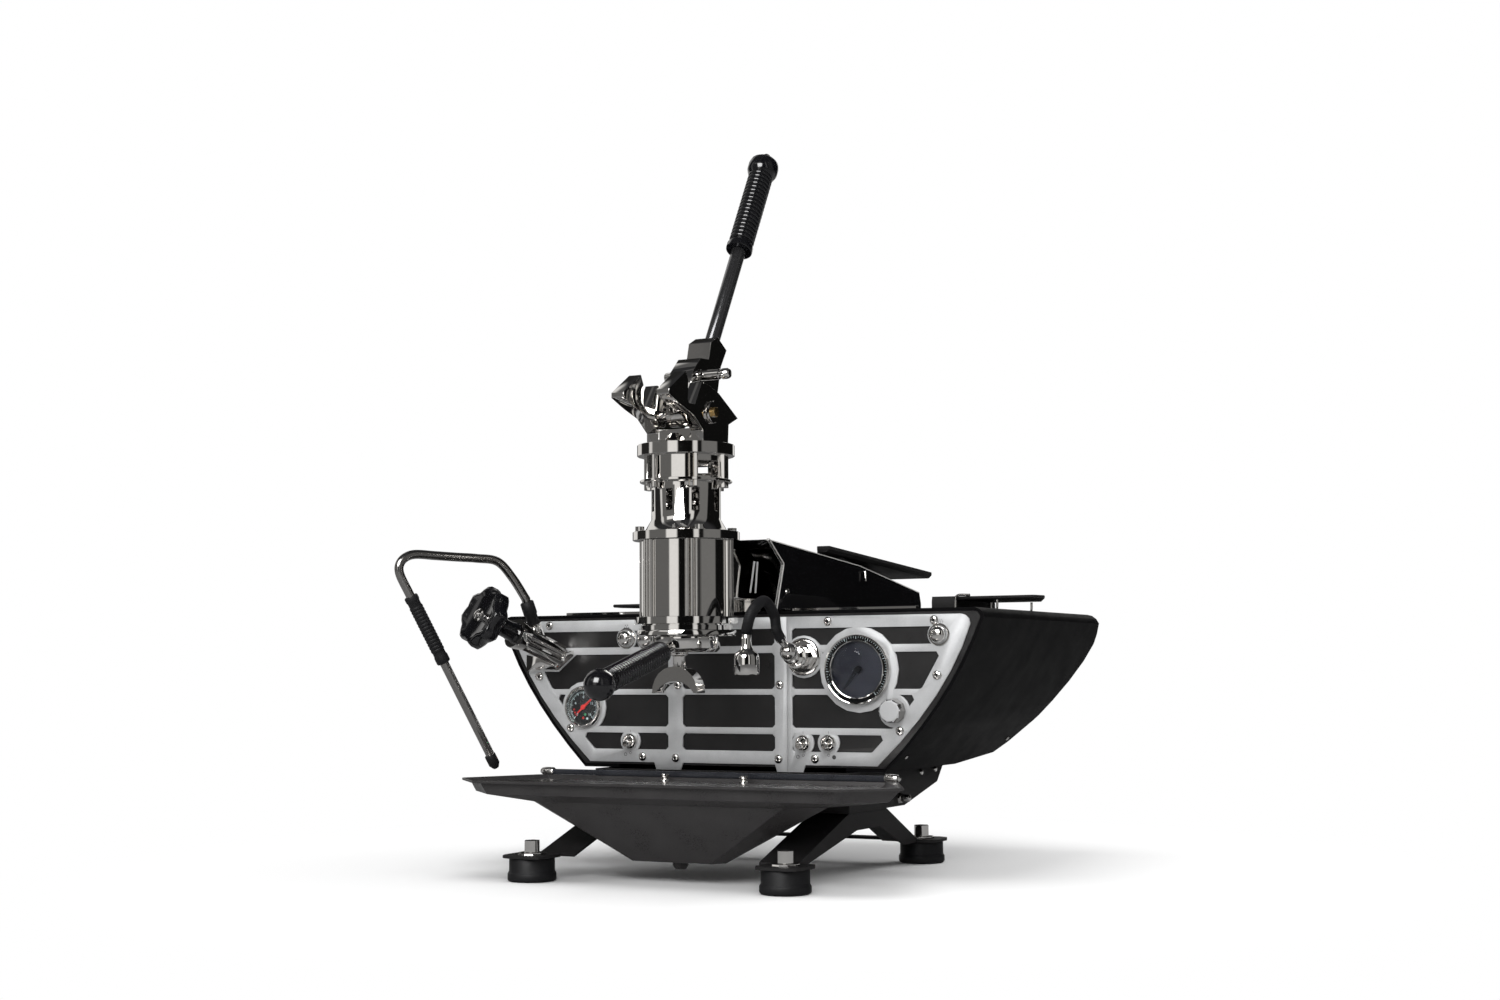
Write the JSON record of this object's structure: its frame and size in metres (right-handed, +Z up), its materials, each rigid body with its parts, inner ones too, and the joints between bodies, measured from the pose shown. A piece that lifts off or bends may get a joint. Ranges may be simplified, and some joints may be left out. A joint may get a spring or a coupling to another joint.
{
  "type": "lever espresso machine",
  "caption": "Lever espresso machine with a sprung group, locking filter holder, steam wand, hot water spout, pull-out drip tray, dials, buttons, toggles and a cup shelf.",
  "frame": {"origin": "on the floor, on the machine's middle plane, midway between the filter holder's ball in front and the hull's rear edge", "axes": "+Z up, +X to the right of someone facing the front panel, -Y out of the front panel towards that person"},
  "size_m": [0.5835, 0.659, 0.7891],
  "materials": {
    "hull_black": "fine-textured satin powder coat",
    "gloss_black": "polished gloss",
    "fascia": "satin",
    "trim": "satin, finely grained",
    "tray_grey": "satin",
    "chrome": "polished",
    "steel": "polished",
    "boiler_brass": "plain",
    "handle_black": "gloss",
    "rubber": "matte",
    "needle_red": "gloss"
  },
  "bodies": {
    "machine": {"chassis_frame": "hull_black", "hull_left": "hull_black", "hull_right": "hull_black", "rear_cover": "hull_black", "top_deck": "hull_black", "front_fascia": "fascia", "trim_left": "trim", "trim_right": "trim", "legs": "hull_black", "foot_front_left": "rubber", "foot_front_right": "rubber", "foot_rear_left": "rubber", "foot_rear_right": "rubber", "steam_boiler": "boiler_brass", "pump": "steel", "cowl": "gloss_black", "cup_shelf": "hull_black", "cup_wing_left": "hull_black", "cup_wing_right": "hull_black", "group_mount": "chrome", "group_head": "chrome", "shower_screen": "steel", "group_cylinder": "chrome", "spring_housing": "chrome", "main_spring": "steel", "lever_fork": "chrome", "fork_pin": "chrome", "steam_valve": "chrome", "wand_collar": "handle_black", "spout_fitting": "chrome", "main_gauge": "chrome", "small_gauge": "chrome"},
    "lever": {"lever_yoke": "chrome", "stop_pin": "chrome", "lever_rod": "chrome", "lever_grip": "handle_black", "grip_screw": "chrome"},
    "piston_body": {"piston": "steel"},
    "portafilter": {"portafilter_body": "chrome", "portafilter_handle": "handle_black", "portafilter_spout": "chrome", "filter_basket": "steel"},
    "knob": {"steam_knob": "handle_black"},
    "wand": {"steam_wand": "steel", "wand_grip": "rubber", "wand_tip": "rubber"},
    "spout": {"water_hose": "rubber", "water_nozzle": "chrome"},
    "temperature": {"temp_knob": "trim"},
    "button_rinse": {"rinse_button": "chrome"},
    "button_brew": {"brew_button": "chrome"},
    "button_steam": {"steam_button": "chrome"},
    "switch_left": {"toggle_left": "chrome"},
    "switch_mid": {"toggle_mid": "chrome"},
    "switch_right": {"toggle_right": "chrome"},
    "main_needle": {"main_gauge_needle": "needle_red"},
    "small_needle": {"small_gauge_needle": "needle_red"},
    "tray": {"drip_tray": "tray_grey", "splash_bar": "hull_black"},
    "grate": {"tray_grate": "tray_grey"}
  },
  "joints": [
    {"name": "lever_swing", "type": "hinge", "parent": "machine", "child": "lever", "pos_m": [0, -0.1519, 0.4723], "axis": [1, 0, 0], "range_deg": [0, 93], "stiffness_Nm_per_rad": 4, "springref_deg": -5.73},
    {"name": "piston_lift", "type": "slide", "parent": "machine", "child": "piston_body", "axis": [0, 0, 1], "range_m": [0, 0.024], "deforming": ["main_spring"]},
    {"name": "portafilter_turn", "type": "hinge", "parent": "machine", "child": "portafilter", "pos_m": [0, -0.1464, 0.245], "axis": [0, 0, 1], "range_deg": [-50, 0]},
    {"name": "steam_knob_turn", "type": "hinge", "parent": "machine", "child": "knob", "pos_m": [-0.24, -0.1595, 0.268], "axis": [-0.3179, -0.8701, 0.3765], "range_deg": [0, 270]},
    {"name": "wand_swivel", "type": "hinge", "parent": "machine", "child": "wand", "pos_m": [-0.21408, -0.08857, 0.23731], "axis": [-0.164, -0.3247, 0.9315], "range_deg": [-40, 45]},
    {"name": "spout_swivel", "type": "hinge", "parent": "machine", "child": "spout", "pos_m": [0.089, -0.0915, 0.229], "axis": [0, 0, 1], "range_deg": [-15, 40]},
    {"name": "temp_knob_turn", "type": "hinge", "parent": "machine", "child": "temperature", "pos_m": [0.1903, -0.0555, 0.1687], "axis": [0, -1, 0], "range_deg": [0, 270]},
    {"name": "rinse_press", "type": "slide", "parent": "machine", "child": "button_rinse", "axis": [0, 1, 0], "range_m": [0, 0.003], "stiffness_N_per_m": 400},
    {"name": "brew_press", "type": "slide", "parent": "machine", "child": "button_brew", "axis": [0, 1, 0], "range_m": [0, 0.003], "stiffness_N_per_m": 400},
    {"name": "steam_press", "type": "slide", "parent": "machine", "child": "button_steam", "axis": [0, 1, 0], "range_m": [0, 0.003], "stiffness_N_per_m": 400},
    {"name": "toggle_left_flip", "type": "hinge", "parent": "machine", "child": "switch_left", "pos_m": [-0.1197, -0.0555, 0.135], "axis": [-1, 0, 0], "range_deg": [0, 24]},
    {"name": "toggle_mid_flip", "type": "hinge", "parent": "machine", "child": "switch_mid", "pos_m": [0.0877, -0.0555, 0.1353], "axis": [-1, 0, 0], "range_deg": [0, 24]},
    {"name": "toggle_right_flip", "type": "hinge", "parent": "machine", "child": "switch_right", "pos_m": [0.1168, -0.0555, 0.1357], "axis": [-1, 0, 0], "range_deg": [0, 24]},
    {"name": "main_needle_turn", "type": "hinge", "parent": "machine", "child": "main_needle", "pos_m": [0.1516, -0.0555, 0.2105], "axis": [0, -1, 0], "range_deg": [-280, 0]},
    {"name": "small_needle_turn", "type": "hinge", "parent": "machine", "child": "small_needle", "pos_m": [-0.1788, -0.0555, 0.171], "axis": [0, -1, 0], "range_deg": [-90, 190]},
    {"name": "tray_slide", "type": "slide", "parent": "machine", "child": "tray", "axis": [0, -1, 0], "range_m": [0, 0.15]},
    {"name": "grate_lift", "type": "slide", "parent": "tray", "child": "grate", "axis": [0, 0, 1], "range_m": [0, 0.05]}
  ],
  "couplings": [
    {"joint": "piston_lift", "follows": "lever_swing", "m_per_rad": 0.01478}
  ]
}
